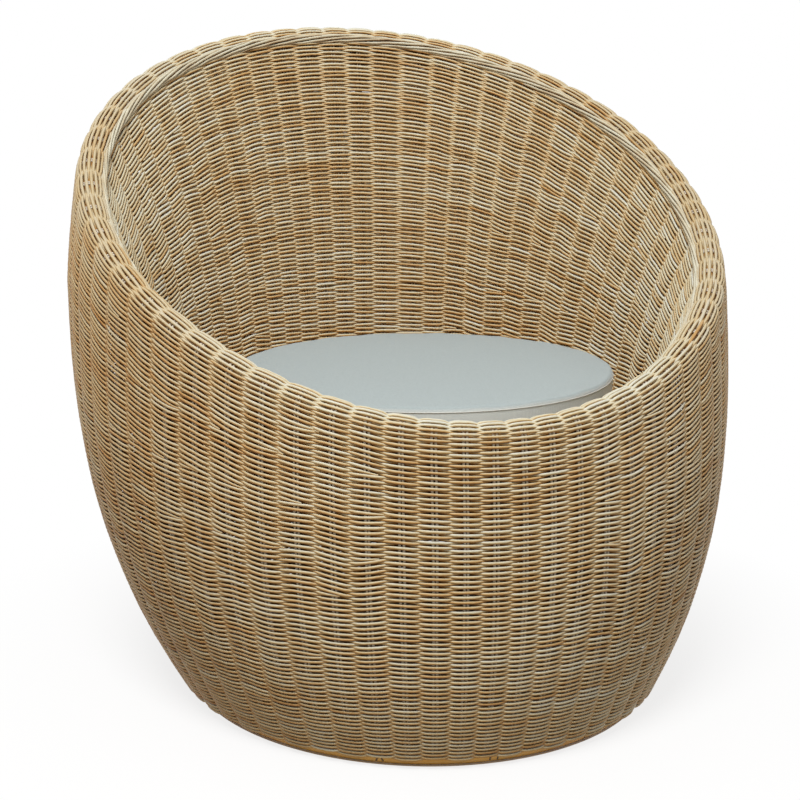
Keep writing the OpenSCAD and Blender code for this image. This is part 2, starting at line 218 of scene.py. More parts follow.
def outer_place(x, t):
    """Direction of outer stake x, the same at every t."""
    b = TAU / STAKES * x
    shift = 0.0
    for k, c, s in OUTER_SHIFT:
        shift = shift + c * np.cos(k * b) + s * np.sin(k * b)
    return b + np.radians(shift - OUTER_START)


def inner_place(x, t):
    """Direction of inner stake x at t."""
    low = np.interp(x % STAKES, INNER_AT, INNER_LOW)
    top = np.interp(x % STAKES, INNER_AT, INNER_TOP)
    return np.radians(low + (top - low) * (t - LOW_T) / (TOP_T - LOW_T))


# ---------------------------------------------------------------- making strands in bulk
FIRST_CORNER = 0.3                      # where the corners round a strand start, in radians
TOP_PAINTED_LIGHT, ALL_TONE = 0.46, -0.02        # painted light and shade: strands are paler on top and darker underneath
UV_EDGE, UV_WIDE, UV_END, UV_LONG = 0.04, 0.92, 0.001, 0.998


def new_object(name, mesh):
    ob = bpy.data.objects.new(name, mesh)
    bpy.context.collection.objects.link(ob)
    return ob


def quad_mesh(name, verts, faces, uvs, tones):
    """verts in metres; uvs per corner; tones per vertex, for the materials to read."""
    me = bpy.data.meshes.new(name)
    me.vertices.add(len(verts))
    me.vertices.foreach_set("co", verts.astype(np.float32).ravel())
    me.loops.add(faces.size)
    me.loops.foreach_set("vertex_index", faces.astype(np.int32).ravel())
    me.polygons.add(len(faces))
    me.polygons.foreach_set("loop_start", np.arange(0, faces.size, 4, dtype=np.int32))
    me.polygons.foreach_set("loop_total", np.full(len(faces), 4, dtype=np.int32))
    me.polygons.foreach_set("use_smooth", np.ones(len(faces), dtype=bool))
    me.uv_layers.new(name="OFBake").uv.foreach_set("vector", uvs.astype(np.float32).ravel())
    tone = me.attributes.new("tone", "FLOAT", "POINT")
    tone.data.foreach_set("value", tones.astype(np.float32))
    me.update()
    me.validate()
    return me


def tubes(name, strands, sides, closed=False, flat=1.0):
    """One mesh of strands, each given as (line, side direction, radius, tone) in mm. The radius
    along the side direction is flat times the other. Closed strands join end to start."""
    verts, faces, uvs, tones = [], [], [], []
    base, count = 0, len(strands)
    th = np.arange(sides) / sides * TAU + FIRST_CORNER
    cos, sin = np.cos(th), np.sin(th)
    for q, (line, way, radius, tone) in enumerate(strands):
        m = len(line)
        t = np.roll(line, -1, 0) - np.roll(line, 1, 0) if closed else np.gradient(line, axis=0)
        t = unit(t)
        n = unit(way - (way * t).sum(-1, keepdims=True) * t)
        b = np.cross(t, n)
        r = np.broadcast_to(np.asarray(radius, float), (m,))[:, None, None]
        ring = flat * cos[None, :, None] * n[:, None] + sin[None, :, None] * b[:, None]
        verts.append((line[:, None] + r * ring).reshape(-1, 3))
        spans = m if closed else m - 1
        i, j = np.arange(spans)[:, None], np.arange(sides)[None, :]
        i2, j2 = (i + 1) % m, (j + 1) % sides
        quad = [i * sides + j, i * sides + j2, i2 * sides + j2, i2 * sides + j]
        faces.append((np.stack(quad, -1) + base).reshape(-1, 4))
        u0, u1 = (end / spans * UV_LONG + UV_END for end in (i, i + 1))
        v0, v1 = ((q + UV_EDGE + UV_WIDE * end / sides) / count for end in (j, j + 1))
        uv = np.stack([np.broadcast_arrays(*at) for at in ((u0, v0), (u0, v1), (u1, v1), (u1, v0))])
        uvs.append(uv.transpose(2, 3, 0, 1).reshape(-1, 2))
        # painted light and shade: the tone rises where the strand's surface faces up and falls
        # where it faces down
        painted_top_light = cos[None] * n[:, 2:3] + sin[None] * b[:, 2:3]
        tone = np.broadcast_to(np.asarray(tone, float), (m,))
        tones.append((tone[:, None] + TOP_PAINTED_LIGHT * painted_top_light + ALL_TONE).ravel())
        base += m * sides
    verts = (np.concatenate(verts) - np.array([0, MID_Y, 0])) / 1000
    faces, uvs, tones = (np.concatenate(part) for part in (faces, uvs, tones))
    return new_object(name, quad_mesh(name, verts, faces, uvs, tones))


def waves(x, seed, scale=1.0, terms=5):
    """A smooth random line over x, in radians round the chair, about -1 to 1."""
    g = np.random.default_rng(seed)
    y = np.zeros_like(x)
    for k in range(1, terms + 1):
        y += g.normal() / math.sqrt(terms) * np.sin(k * scale * x + g.uniform(0, TAU))
    return y


def tagged(objs, body, slot, mat, *nodes):
    for ob in objs:
        ob.data.materials.append(mat)
        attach(ob, body)
        if nodes:
            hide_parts(*nodes)


# ---------------------------------------------------------------- rows of weaving
SAMPLES, CHUNK = 6, 40                  # points of a weaver per stake; strands per mesh
WEAVER_SIDES, WEAVER_FLAT = 5, 0.8
END_FADE, LEVEL = 0.9, 0.985            # stakes over which a short row ends; scale of its height
BULGE = 0.28                            # how far a weaver bows out between two crossings
THICK_EACH, THICK_ALONG = 0.05, 0.05    # thickness differs from row to row and along a row,
THICK_BETWEEN, THICK_OVER, THICK_UNDER = 0.05, 0.26, 0.48       # and over each crossing
TONE_EACH, TONE_RANGE, TONE_ALONG = 0.065, (-1.8, 1.5), 0.11    # tone differs likewise
RECESS, RECESS_SHADE = 0.58, 1.5         # painted shade behind the stakes: from where a weaver dips behind a stake, and how dark
ROLL_T, ROLL_FADE, ROLL_THICK = 0.90, 0.04, 0.12                # weavers are thicker on the roll
END_SIZE, END_GROWTH, END_SHARE = 0.5, 0.66, 0.06               # a short row thins, then ends


def lay_rows(sheet, pitch, groups, spread=None):
    """Rows of one sheet. Full rows go all the way round; short ones fill the back where the wall
    is higher, and end in pairs. groups: (place among the full rows, share of the short rows).
    Returns each row's t and its width in every direction of fans, where 0 is no row."""
    need = sheet.length / pitch
    full = int(round(need.min() / 2) * 2)
    extra = np.clip(need - full, 0, None)
    most = int(extra.max() / 2) * 2
    share = extra / extra.max()
    slope = np.abs(np.gradient(share, fans)) + 1e-3
    fade = TAU / STAKES * END_FADE
    rows = []
    for k in range(full + 1):
        for place, part in groups:
            pairs = int(round(part * most / 2)) if int(place * full / 2) * 2 == k else 0
            for p in range(pairs):
                level = (pairs - p - 0.5) / pairs
                row = np.clip((share - level * LEVEL) / (slope * fade) + 0.5, 0, 1)
                rows += [row, row]
        if k < full:
            rows.append(np.ones(NU))
    w = np.array(rows)
    if spread is not None:
        w = w * spread(len(w))
    top = np.cumsum(w, 0)
    return (top - w / 2) / top[-1], w


def weave(sheet, rows, place, depth, amp, radius, name, jitter, seed, pale=0.0):
    """Weavers that pass over and under the stakes, as closed rings or as short rows, at depth
    below the sheet and amp to both sides of that. pale: how much paler they are over the roll.
    Every row has random lines of its own, whose seeds are worked out from seed and its number."""
    n = STAKES * SAMPLES
    x = np.arange(n) / SAMPLES
    c = np.cos(math.pi * x)
    between = 1 - c * c
    sets = {"ring": [], "short": []}
    each = np.random.default_rng(seed)

    def on_row(row, u):
        return np.interp(u % TAU, np.append(fans, TAU), np.append(row, row[0]))
    for k, (row_t, row_w) in enumerate(zip(*rows)):
        u = place(x, on_row(row_t, place(x, 0.5)))
        t = on_row(row_t, u) + jitter * waves(u, seed * 1000 + k, 3, 9) / sheet.length.mean()
        w = on_row(row_w, u)
        p, way = sheet.at(u, t)
        wave = (1 if k % 2 == 0 else -1) * c * (1 + BULGE * between) + BULGE * between
        line = p - way * (depth - amp * wave)[:, None]
        size = radius * (1 + THICK_EACH * math.sin(k * 12.9898 + seed)
                         + THICK_ALONG * waves(u, seed * 77 + k, 2, 4))
        size = size * (1 + THICK_BETWEEN * between + THICK_OVER * np.clip(wave, 0, 1)
                       + THICK_UNDER * np.clip(-wave, 0, 1))
        tone = 0.5 + TONE_EACH * np.clip(each.normal(), *TONE_RANGE)
        tone = tone + TONE_ALONG * waves(u, seed * 31 + k, 1.3, 8)
        # painted shade where the weaver dips behind a stake
        tone = tone - RECESS_SHADE * np.clip(-RECESS - wave, 0, 1)
        if pale:
            roll = np.clip((t - ROLL_T) / ROLL_FADE, 0, 1)
            tone, size = tone + pale * roll, size * (1 + ROLL_THICK * roll)
        size = size * np.clip(END_SIZE + END_GROWTH * w, 0, 1)
        live = w > END_SHARE
        if live.all():
            sets["ring"].append((line, way, size, tone))
        elif live.sum() >= 2 * SAMPLES:
            at = (np.arange(n) + int(np.argmax(~live))) % n
            at = at[live[at]]
            sets["short"].append((line[at], way[at], size[at], tone[at]))
    return [tubes(f"{name}_{tag}_{i // CHUNK + 1}", strands[i:i + CHUNK], WEAVER_SIDES,
                  tag == "ring", WEAVER_FLAT)
            for tag, strands in sets.items() for i in range(0, len(strands), CHUNK)]


STAKE_R, STAKE_GAP, STAKE_WOBBLE = 1.42, 3.8, 0.25
STAKE_POINTS, STAKE_SIDES = 90, 6


def stake_pairs(sheet, place, depth, name, t0=0.0, t1=1.0, seed=3):
    """Two strands side by side at each stake, from t0 to t1, each with a slight wobble."""
    strands = []
    t = np.linspace(t0, t1, STAKE_POINTS)
    for j in range(STAKES):
        u = place(np.full(STAKE_POINTS, float(j)), t)
        p, way = sheet.at(u, t)
        beside = unit(sheet.at(u + 0.01, t)[0] - p)
        for s in (-1, 1):
            off = s * STAKE_GAP / 2 + STAKE_WOBBLE * waves(t * TAU, seed + j * 2 + s, 0.7, 3)
            tone = 0.5 + 0.2 * waves(t * TAU, seed + 500 + j * 2 + s, 0.6, 3)
            strands.append((p - way * depth + beside * off[:, None], way, STAKE_R, tone))
    return tubes(name, strands, STAKE_SIDES)


# ---------------------------------------------------------------- materials
class Graph:
    """Short ways to write a node tree."""

    def __init__(self, tree):
        self.nt = tree
        self.nt.nodes.clear()

    def feed(self, socket, value):
        """A number, a colour of three numbers, or another node's output."""
        if isinstance(value, (float, int)):
            socket.default_value = value
        elif isinstance(value, tuple):
            socket.default_value = (*value, 1)
        else:
            self.nt.links.new(value, socket)

    def new(self, kind, **values):
        """A node with its options and inputs set, where an input's name has _ for spaces."""
        node = self.nt.nodes.new("ShaderNode" + kind)
        for k, v in values.items():
            if hasattr(node, k):
                setattr(node, k, v)
            else:
                self.feed(node.inputs[k.replace("_", " ")], v)
        return node

    def ramp(self, fac, stops):
        node = self.nt.nodes.new("ShaderNodeValToRGB")
        while len(node.color_ramp.elements) < len(stops):
            node.color_ramp.elements.new(0.5)
        for el, (pos, col) in zip(node.color_ramp.elements, stops):
            el.position = pos
            el.color = (*col, 1)
        self.feed(node.inputs[0], fac)
        return node.outputs[0]

    def mix(self, fac, a, b, mode="MIX"):
        node = self.new("Mix", data_type="RGBA", blend_type=mode)
        for index, value in ((0, fac), (6, a), (7, b)):
            self.feed(node.inputs[index], value)
        return node.outputs[2]

    def noise(self, vector, scale, detail=3.0, rough=0.5):
        node = self.new("TexNoise", Scale=scale, Detail=detail, Roughness=rough, Vector=vector)
        return node.outputs["Fac"]

    def math(self, op, a, b=0.0, clamp=False):
        node = self.new("Math", operation=op, use_clamp=clamp)
        self.feed(node.inputs[0], a)
        self.feed(node.inputs[1], b)
        return node.outputs[0]

    def around(self, value, middle, gain):
        """value less middle, times gain."""
        return self.math("MULTIPLY", self.math("SUBTRACT", value, middle), gain)

    def coord(self, scale=(1, 1, 1)):
        mapping = self.new("Mapping", Vector=self.new("TexCoord").outputs["Object"])
        mapping.inputs["Scale"].default_value = scale
        return mapping.outputs[0]

    def seen_straight(self):
        """1 for the camera's rays and those in a mirror or through glass, else 0."""
        path = self.new("LightPath").outputs
        return self.math("MAXIMUM", path["Is Camera Ray"], self.math(
            "MAXIMUM", path["Is Glossy Ray"], path["Is Transmission Ray"]))


class Nodes(Graph):
    """A material with one surface shader, whose inputs are given by name."""

    def __init__(self, name, **values):
        self.mat = bpy.data.materials.new(name)
        self.mat.use_nodes = True
        super().__init__(self.mat.node_tree)
        self.out = self.new("OutputMaterial")
        self.bsdf = self.new("BsdfPrincipled", **values)
        self.feed(self.out.inputs[0], self.bsdf.outputs[0])

    def colour(self, value):
        self.feed(self.bsdf.inputs["Base Color"], value)

    def bump(self, height, strength, distance):
        node = self.new("Bump", Strength=strength, Distance=distance, Height=height)
        self.feed(self.bsdf.inputs["Normal"], node.outputs[0])


# painted shade: the darkest colour, for tones below 0, which the recesses behind the stakes reach
DEEP_SHADE = (0.020, 0.011, 0.005)            # tones below 0 fall off to this,
TONE_LIFT, TONE_GAIN = 0.25, 0.8        # for which these make room on the ramp
PATCH, STREAK = 0.25, 0.36              # contrast of the broad patches and of the fine grain
FLANK_X, FLANK_GAIN, FLANK_SHADE = 0.16, 4.2, (0.78, 0.625, 0.43)     # painted shade, darker and warmer on the two sides, from that far out, in metres
FOOT_TOP, FOOT_GAIN, FOOT = 0.34, 3.2, (0.74, 0.75, 0.76)       # painted shade: darker and a little cooler from that height down


def cane(name, stops, rough=0.5, flanks=0.0, foot=0.0):
    """Varnished rattan core: a tone along each strand, which also carries painted light on top of
    the strands and painted shade under them and behind the stakes, broad patches and fine grain.
    flanks: how strongly painted shade darkens and warms the two sides; foot: how strongly painted
    shade darkens the lower part."""
    m = Nodes(name, Roughness=rough, Specular_IOR_Level=0.35)
    drawn = m.new("Attribute", attribute_name="tone", attribute_type="GEOMETRY").outputs["Fac"]
    here = m.coord()
    fine = m.noise(here, 160.0, 3.0, 0.6)
    tone = m.math("ADD", drawn, m.around(m.noise(here, 7.0, 2.0), 0.5, PATCH))
    tone = m.math("ADD", tone, m.around(fine, 0.5, STREAK))
    tone = m.math("MULTIPLY", m.math("ADD", tone, TONE_LIFT), TONE_GAIN, clamp=True)
    col = m.ramp(tone, [(0.0, DEEP_SHADE)] + [((at + TONE_LIFT) * TONE_GAIN, c) for at, c in stops])
    # painted shade: darker and warmer towards the two sides, darker towards the foot
    if flanks or foot:
        x, _, z = m.new("SeparateXYZ", Vector=here).outputs
        wide = m.math("SUBTRACT", m.math("ABSOLUTE", x), FLANK_X)
        wide = m.math("MULTIPLY", wide, FLANK_GAIN, clamp=True)
        low = m.math("MULTIPLY", m.math("SUBTRACT", FOOT_TOP, z), FOOT_GAIN, clamp=True)
        col = m.mix(m.math("MULTIPLY", wide, flanks), col, FLANK_SHADE, "MULTIPLY")
        col = m.mix(m.math("MULTIPLY", low, foot), col, FOOT, "MULTIPLY")
    m.colour(col)
    m.bump(fine, 0.25, 0.0004)
    return m.mat


def pole_material(name, dark, middle, light):
    m = Nodes(name, Roughness=0.45)
    grain = m.noise(m.coord((30, 30, 260)), 3.0, 3.0, 0.6)
    patch = m.noise(m.coord(), 9.0, 3.0, 0.6)
    tone = m.math("ADD", m.math("MULTIPLY", patch, 0.75), m.math("MULTIPLY", grain, 0.3))
    m.colour(m.ramp(tone, [(0.25, dark), (0.5, middle), (0.8, light)]))
    m.bump(grain, 0.3, 0.0006)
    return m.mat


RATTAN = [
    (0.00, (0.23, 0.085, 0.016)), (0.25, (0.44, 0.215, 0.052)), (0.50, (0.56, 0.365, 0.148)),
    (0.75, (0.63, 0.545, 0.355)), (0.88, (0.665, 0.620, 0.455)), (1.00, (0.675, 0.665, 0.565))]
WEAVER = cane("rattan_weaver", RATTAN)
# the outer wall, with painted shade on its sides and towards its foot
WALL = cane("rattan_wall", RATTAN, flanks=0.9, foot=0.3)
STAKE = cane("rattan_stake", [
    (0.0, (0.56, 0.46, 0.34)), (0.5, (0.68, 0.60, 0.48)), (1.0, (0.76, 0.70, 0.60))], rough=0.55)
# painted shade: the inner wall's stakes are a darker copy of the stake colours, as they sit in
# shade between the weavers
INNER_STAKE_SHADED = cane("rattan_inner_stake", [
    (0.0, (0.20, 0.125, 0.065)), (0.5, (0.30, 0.210, 0.120)), (1.0, (0.38, 0.290, 0.185))])
BORDER = cane("border_cane", [
    (0.00, (0.26, 0.130, 0.045)), (0.35, (0.52, 0.410, 0.250)), (0.70, (0.59, 0.530, 0.385)),
    (1.00, (0.66, 0.630, 0.500))])
SEAT_CANE = cane("rattan_seat", [
    (0.0, (0.42, 0.24, 0.09)), (0.5, (0.62, 0.43, 0.21)), (1.0, (0.78, 0.62, 0.38))])
BASE = pole_material("rattan_base_pole",
                     (0.52, 0.20, 0.025), (0.80, 0.40, 0.060), (0.90, 0.55, 0.13))
# painted shade: the rim pole inside the roll is dark, as it is seen only in shade through the gaps
RIM_POLE_SHADED = pole_material("rattan_rim_pole",
                         (0.12, 0.055, 0.020), (0.19, 0.095, 0.035), (0.25, 0.140, 0.060))
POLE = pole_material("rattan_frame_pole",
                     (0.42, 0.25, 0.10), (0.63, 0.44, 0.22), (0.74, 0.58, 0.35))
DARK = Nodes("joint_line", Roughness=0.6)
DARK.colour((0.055, 0.026, 0.010))

# ---------------------------------------------------------------- the outer wall
FOOT_ROWS, FOOT_NEAR, FOOT_EASE, FOOT_UNTIL = 110, 0.88, 0.12, 100  # closer at the foot
LAST_ROWS, LAST_SWELL, LAST_AT, LAST_FADE = 20, 0.22, 12.0, 4.5     # wider on top of the roll


def roll_spread(count):
    """Rows stand closer at the foot, and further apart over the top of the roll."""
    s = np.ones((count, 1))
    s[:FOOT_ROWS, 0] = FOOT_NEAR + FOOT_EASE * np.clip(np.arange(FOOT_ROWS) / FOOT_UNTIL, 0, 1)
    last = np.arange(LAST_ROWS)
    s[-LAST_ROWS:, 0] = 1 + LAST_SWELL * np.exp(-((last - LAST_AT) / LAST_FADE) ** 2)
    return s


OUTER_GROUPS = [(0.16, 0.05), (0.34, 0.09), (0.50, 0.12), (0.60, 0.20), (0.70, 0.24),
                (0.80, 0.20), (0.86, 0.10)]
OUTER_DEPTH = 4.1
tagged(weave(OUTER, lay_rows(OUTER, 2.60, OUTER_GROUPS, roll_spread), outer_place, OUTER_DEPTH,
             amp=2.75, radius=1.38, name="outer_weave", jitter=0.20, seed=1, pale=0.10),
       "chair", "woven_rattan", WALL, "outer_weave")
tagged([stake_pairs(OUTER, outer_place, OUTER_DEPTH, "outer_stakes", t0=0.002, t1=0.998)],
       "chair", "woven_rattan", STAKE, "outer_weave")

# ---------------------------------------------------------------- the inner wall
INNER_GROUPS = [(0.10, 0.10), (0.25, 0.16), (0.40, 0.20), (0.55, 0.20), (0.70, 0.18), (0.85, 0.16)]
INNER_DEPTH = 4.2
tagged(weave(INNER, lay_rows(INNER, 2.87, INNER_GROUPS), inner_place, INNER_DEPTH,
             amp=2.8, radius=1.42, name="inner_weave", jitter=0.22, seed=2),
       "chair", "woven_rattan", WEAVER, "inner_weave")
tagged([stake_pairs(INNER, inner_place, INNER_DEPTH, "inner_stakes", seed=900)],
       "chair", "woven_rattan", INNER_STAKE_SHADED, "inner_weave")

# ---------------------------------------------------------------- the rope border
ROPE, ROPE_POINTS, ROPE_TURN = 7, 1100, 300     # strands; points of each; length of one turn
ROPE_HIGH, ROPE_WIDE, ROPE_TILT = 3.0, 5.2, math.radians(166)   # the section they lie on
# painted shade: the core between the strands gets a much lower tone than they have
ROPE_R, CORE_R, CORE_SHADE = 1.68, 2.4, -0.1


def rope():
    """Strands that wind round a core, dark as painted shade between them, on an oval section that
    leans with the roll.
    """
    u = np.arange(ROPE_POINTS) / ROPE_POINTS * TAU
    mid, out, up = rim_frame(u)
    centre = mid - (ROLL_R - INSET) * out + RISE * up
    arc = np.cumsum(np.linalg.norm(np.roll(centre, -1, 0) - centre, axis=1))
    turns = round(arc[-1] / ROPE_TURN)
    high = math.cos(ROPE_TILT) * out + math.sin(ROPE_TILT) * up
    wide = -math.sin(ROPE_TILT) * out + math.cos(ROPE_TILT) * up
    strands = []
    for k in range(ROPE):
        psi = TAU * (turns * arc / arc[-1] + k / ROPE)
        side = ROPE_HIGH * np.cos(psi)[:, None] * high + ROPE_WIDE * np.sin(psi)[:, None] * wide
        line = centre + (1 + 0.10 * waves(u, 60 + k, 9, 9))[:, None] * side
        tone = 0.50 + 0.22 * waves(u, 40 + k, 5, 12) + 0.14 * math.sin(k * 4.7)
        strands.append((line, unit(side), ROPE_R + 0.08 * waves(u, 80 + k, 7, 9), tone))
    return strands + [(centre, up, CORE_R, CORE_SHADE)]


tagged([tubes("rim_border_rope", rope(), 8, closed=True)],
       "chair", "border_cane", BORDER, "rim_border")

# ---------------------------------------------------------------- the woven seat
SEAT_PITCH, SEAT_STEP, SEAT_EDGE = 4.0, 18.0, 3         # of rows, of stakes; room at the edge
SEAT_DIP, SEAT_AMP, SEAT_ROW_R, SEAT_ROW_EDGE, SEAT_ROW_RUN = 3.0, 1.1, 1.75, 2.5, 6
SEAT_STAKE_DIP, SEAT_STAKE_R, SEAT_STAKE_OFF, SEAT_STAKE_RUN = 3.6, 1.4, 1.7, 20
SEAT_HALF = 16                          # stakes on either side of the middle one


def seat_strands():
    """Rows from side to side, over and under pairs of stakes that run from front to back."""
    strands = []
    for row, y in enumerate(np.arange(SEAT_EDGE - SEAT_R, SEAT_R - 2, SEAT_PITCH)):
        half = math.sqrt(SEAT_R ** 2 - y * y) - SEAT_ROW_EDGE
        x = np.linspace(-half, half, max(4, int(2 * half / SEAT_ROW_RUN)))
        wave = SEAT_AMP * np.cos(math.pi * x / SEAT_STEP) * (1 if row % 2 else -1)
        tone = 0.5 + 0.2 * math.sin(row * 5.1) + 0.15 * waves(x / 100, 70 + row, 1.0, 4)
        strands.append((stack(x, SEAT_Y + y, SEAT_Z - SEAT_DIP + wave), UP, SEAT_ROW_R, tone))
    for x in np.arange(-SEAT_HALF, SEAT_HALF + 1) * SEAT_STEP:
        half = math.sqrt(SEAT_R ** 2 - x * x) - SEAT_EDGE
        y = np.linspace(-half, half, max(4, int(2 * half / SEAT_STAKE_RUN)))
        for off in (-SEAT_STAKE_OFF, SEAT_STAKE_OFF):
            line = stack(x + off, SEAT_Y + y, SEAT_Z - SEAT_STAKE_DIP)
            strands.append((line, UP, SEAT_STAKE_R, 0.6))
    return strands


tagged([tubes("seat_weave_strands", seat_strands(), 6, flat=0.8)],
       "chair", "woven_rattan", SEAT_CANE, "seat_weave")

# ---------------------------------------------------------------- the base pole and the frame
HOOP_R, HOOP_POLE, HOOP_Z, PLANED_Z = 260.7, 12.0, 11.2, 0.35
JOINTS, JOINT_R, JOINT_POINTS = (26, 138, 222), 0.55, 24
STAPLES = ((-24.6, 0.5), (-23.4, -0.6), (0.6, 0.0), (2.4, 0.0))     # direction, slant
STAPLE_AT, STAPLE_HALF, STAPLE_SLANT, STAPLE_R, STAPLE_POINTS = -22, 12.0, 0.006, 0.8, 5


def on_hoop(way, th):
    """Points on the base pole at the angles th round its section, and their side directions."""
    ring = np.cos(th)[:, None] * way + np.sin(th)[:, None] * UP
    return HOOP_R * way + HOOP_Z * UP + HOOP_POLE * ring, ring


def joint(direction):
    """A dark line round the pole, flat where the pole is planed."""
    th = np.arange(JOINT_POINTS) / JOINT_POINTS * TAU
    line, ring = on_hoop(outward(np.radians(direction)), th)
    line[:, 2] = np.clip(line[:, 2], PLANED_Z, None)
    return line, ring, JOINT_R, 0.5


def staple(direction, slant):
    """A short upright mark on the pole's outer side."""
    run = np.linspace(-1, 1, STAPLE_POINTS)
    way = outward(np.radians(direction) + STAPLE_SLANT * slant * run)
    return *on_hoop(way, np.radians(STAPLE_AT + STAPLE_HALF * run)), STAPLE_R, 0.5


tagged([tubes("base_joint_lines", [joint(a) for a in JOINTS], 6, closed=True),
        tubes("base_staples", [staple(*s) for s in STAPLES], 6)], "chair", "base_pole", DARK.mat)

for name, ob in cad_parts.items():
    if not name.startswith("cushion"):
        ob.data.materials.clear()
        ob.data.materials.append(
            BASE if name.startswith("base_hoop") else RIM_POLE_SHADED if name == "rim_hoop" else POLE)

# ---------------------------------------------------------------- the cushion
CUSHION_R, CUSHION_T, CROWN, ROUNDING = 218.5, 81.0, 3.0, 4.0
FROM_FRONT, OFF_SEAT = 230, 0.3         # its middle from the seat's front edge; its underside
CUSHION_Y, CUSHION_Z = SEAT_Y - SEAT_R + FROM_FRONT, SEAT_Z + OFF_SEAT
SEAM_LOW, SEAM_TOP = 6.0, 5.5      # distance of the two seams from the lower and the upper face
LEAN_X, LEAN_Y = 0.014, -0.020     # the top slopes a little: the right and the front are higher
CUSHION_SIDES, CLOTH_FRAMES = 120, 16
WIDEST, LOWEST = 2.5, 0.0002            # how far the side may bulge, in mm; room below, in metres
PUCKER, PUCKER_FADE = 0.0004, 0.014     # fine puckers next to the upper seam, in metres,
PUCKER_IN, PUCKER_DOWN = 6, 5           # from that far in and that far down, in mm
SAG, SAG_FROM, SAG_ABOVE = 0.0006, 0.1, 0.03    # soft dips from that far out and up, in metres
PIPING_R, PIPING_OUT = 0.45, 0.1
CLOTH_TONES = [(0.25, (0.312, 0.358, 0.364)), (0.5, (0.394, 0.453, 0.460)),
               (0.8, (0.480, 0.543, 0.550))]
CLOTH_SOFT, CLOTH_SIDE = (0.384, 0.442, 0.448), (0.394, 0.445, 0.450)
SIDE_LIGHT_PAINTED = (1.98, 1.85, 1.79)          # painted light: the sides are brighter and warmer, for the warm light that the cane throws on them
THREADS = 1 / 0.0011 / 3.2              # wave scale at which the threads are 1.1 mm apart


def cushion_material():
    m = Nodes("cushion_cloth", Roughness=0.9, Specular_IOR_Level=0.15, Sheen_Weight=0.15)
    here = m.coord()
    warp, weft = (m.new("TexWave", wave_type="BANDS", bands_direction=axis, Scale=THREADS,
                        Distortion=1.2, Detail=2, Detail_Scale=3, Vector=here).outputs["Fac"]
                  for axis in "XY")
    slub = m.noise(m.coord((900, 90, 300)), 1.0, 3.0, 0.6)
    mottle = m.noise(here, 420.0, 3.0, 0.7)
    cloth = m.math("ADD", m.math("MULTIPLY", warp, 0.5), m.math("MULTIPLY", weft, 0.5))
    tone = m.math("ADD", m.math("MULTIPLY", mottle, 0.45), m.math("MULTIPLY", slub, 0.25))
    tone = m.math("ADD", m.math("MULTIPLY", cloth, 0.30), tone)
    soft = m.math("MULTIPLY", m.noise(here, 9.0, 2.0), 0.35)
    col = m.mix(soft, m.ramp(tone, CLOTH_TONES), CLOTH_SOFT)
    facing = m.new("SeparateXYZ", Vector=m.new("NewGeometry").outputs["Normal"]).outputs[2]
    side = m.math("SUBTRACT", 1.0, m.math("MULTIPLY", facing, 1.4), clamp=True)
    col = m.mix(m.math("MULTIPLY", side, 0.8), col, CLOTH_SIDE)
    # painted light: where the normal faces sideways, the cloth is made brighter and warmer
    m.colour(m.mix(side, col, SIDE_LIGHT_PAINTED, "MULTIPLY"))
    m.bump(m.math("ADD", cloth, m.math("MULTIPLY", mottle, 0.6)), 0.35, 0.0004)
    return m.mat


def revolve(profile, segs, centre, name):
    """A closed skin round the upright line through centre, from (radius, height) in metres."""
    bm = bmesh.new()
    rings = []
    for r, z in profile:
        turns = [TAU * i / segs for i in range(segs)] if r > 1e-6 else [0.0]
        rings.append([bm.verts.new((centre[0] + r * math.sin(a), centre[1] - r * math.cos(a),
                                    centre[2] + z)) for a in turns])
    for a, b in zip(rings, rings[1:]):
        for i in range(segs):
            j = (i + 1) % segs
            if len(a) == 1:
                bm.faces.new((a[0], b[j], b[i]))
            elif len(b) == 1:
                bm.faces.new((a[i], a[j], b[0]))
            else:
                bm.faces.new((a[i], a[j], b[j], b[i]))
    bmesh.ops.recalc_face_normals(bm, faces=bm.faces)
    me = bpy.data.meshes.new(name)
    bm.to_mesh(me)
    bm.free()
    return new_object(name, me)


def cushion_profile(r, t, rnd):
    """Half section of the pad before it fills out, and the places of its two seams in it."""
    turn = r - rnd
    arc = np.linspace(0, math.pi / 2, 5)
    pts = [(turn * k, 0.0) for k in np.linspace(0, 0.95, 9)]
    pts += [(turn + rnd * math.sin(a), rnd - rnd * math.cos(a)) for a in arc]
    low = len(pts)
    pts += [(r, SEAM_LOW + (t - SEAM_TOP - SEAM_LOW) * k) for k in np.linspace(0, 1, 11)]
    high = len(pts) - 1
    pts += [(turn + rnd * math.cos(a), t - rnd + rnd * math.sin(a)) for a in arc]
    pts += [(turn * k, t) for k in np.linspace(0.96, 0, 17)]
    return [(x / 1000, z / 1000) for x, z in pts], low, high


def ring_of(index):
    """Numbers of the vertices of one ring of the profile; the first ring is a single vertex."""
    first = 1 + (index - 1) * CUSHION_SIDES
    return list(range(first, first + CUSHION_SIDES))


def positions(me):
    at = np.empty(len(me.vertices) * 3)
    me.vertices.foreach_get("co", at)
    return at.reshape(-1, 3)


def run_cloth(ob, held):
    """Fills the cover out by pressure, while the seams hold."""
    pins = ob.vertex_groups.new(name="seams")
    pins.add(held, 1.0, "REPLACE")
    cloth = ob.modifiers.new("cloth", "CLOTH")
    st = cloth.settings
    st.quality = 6
    st.mass = 0.3
    st.tension_stiffness = 15
    st.compression_stiffness = 15
    st.shear_stiffness = 6
    st.bending_stiffness = 0.4
    st.vertex_group_mass = "seams"
    st.use_pressure = True
    st.uniform_pressure_force = 5
    st.effector_weights.gravity = 0
    cloth.collision_settings.use_collision = False
    scene = bpy.context.scene
    scene.frame_start, scene.frame_end = 1, CLOTH_FRAMES
    for f in range(1, CLOTH_FRAMES + 1):
        scene.frame_set(f)
    dg = bpy.context.evaluated_depsgraph_get()
    done = positions(ob.evaluated_get(dg).data)
    ob.modifiers.clear()
    scene.frame_set(1)
    return done


